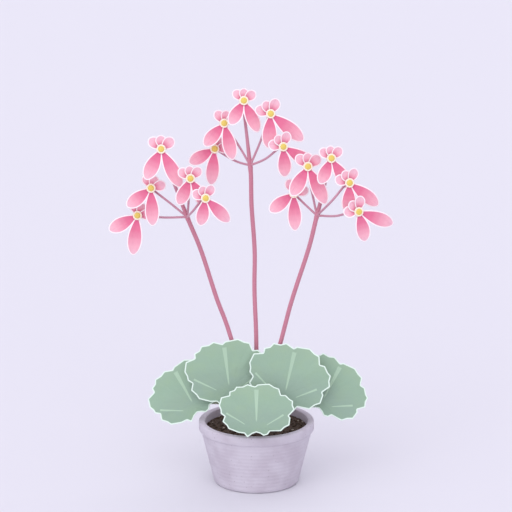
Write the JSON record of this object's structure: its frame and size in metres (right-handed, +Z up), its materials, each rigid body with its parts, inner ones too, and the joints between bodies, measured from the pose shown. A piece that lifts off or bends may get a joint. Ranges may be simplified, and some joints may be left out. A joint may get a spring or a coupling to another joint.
{
  "type": "potted saxifrage",
  "caption": "Small flowering rosette plant in a plain tapered stoneware pot: scalloped round leaves under forked red stalks with pink flowers of short upper and long lower petals.",
  "frame": {"origin": "middle of the flat base of the pot, on the surface that it stands on", "axes": "+Z up along the pot's axis; the leaves and flowers face -Y; +X to the right of someone who looks at the flowers"},
  "size_m": [0.1839, 0.0883, 0.2611],
  "materials": {
    "pot": "matte pale stoneware",
    "soil": "loose dark potting mix",
    "crown": "rough reddish rootstock",
    "leaf": "matte, finely hairy, paler rim",
    "stem": "satin, finely hairy",
    "petal": "matte, paler towards the tip",
    "eye": "matte, with a cream ring"
  },
  "bodies": {
    "root": {"pot": "pot", "soil": "soil", "crown": "crown", "leaf_front": "leaf", "leaf_back_left": "leaf", "leaf_back_right": "leaf", "leaf_side_left": "leaf", "leaf_side_right": "leaf", "leaf_stalk_front": "stem", "leaf_stalk_back_left": "stem", "leaf_stalk_back_right": "stem", "leaf_stalk_side_left": "stem", "leaf_stalk_side_right": "stem", "flower_stalk_left": "stem", "flower_stalk_centre": "stem", "flower_stalk_right": "stem", "petals_left_1": "petal", "eye_left_1": "eye", "petals_left_2": "petal", "eye_left_2": "eye", "petals_left_3": "petal", "eye_left_3": "eye", "petals_left_4": "petal", "eye_left_4": "eye", "petals_left_5": "petal", "eye_left_5": "eye", "petals_centre_1": "petal", "eye_centre_1": "eye", "petals_centre_2": "petal", "eye_centre_2": "eye", "petals_centre_3": "petal", "eye_centre_3": "eye", "petals_centre_4": "petal", "eye_centre_4": "eye", "petals_centre_5": "petal", "eye_centre_5": "eye", "petals_right_1": "petal", "eye_right_1": "eye", "petals_right_2": "petal", "eye_right_2": "eye", "petals_right_3": "petal", "eye_right_3": "eye", "petals_right_4": "petal", "eye_right_4": "eye", "petals_right_5": "petal", "eye_right_5": "eye"}
  },
  "joints": []
}
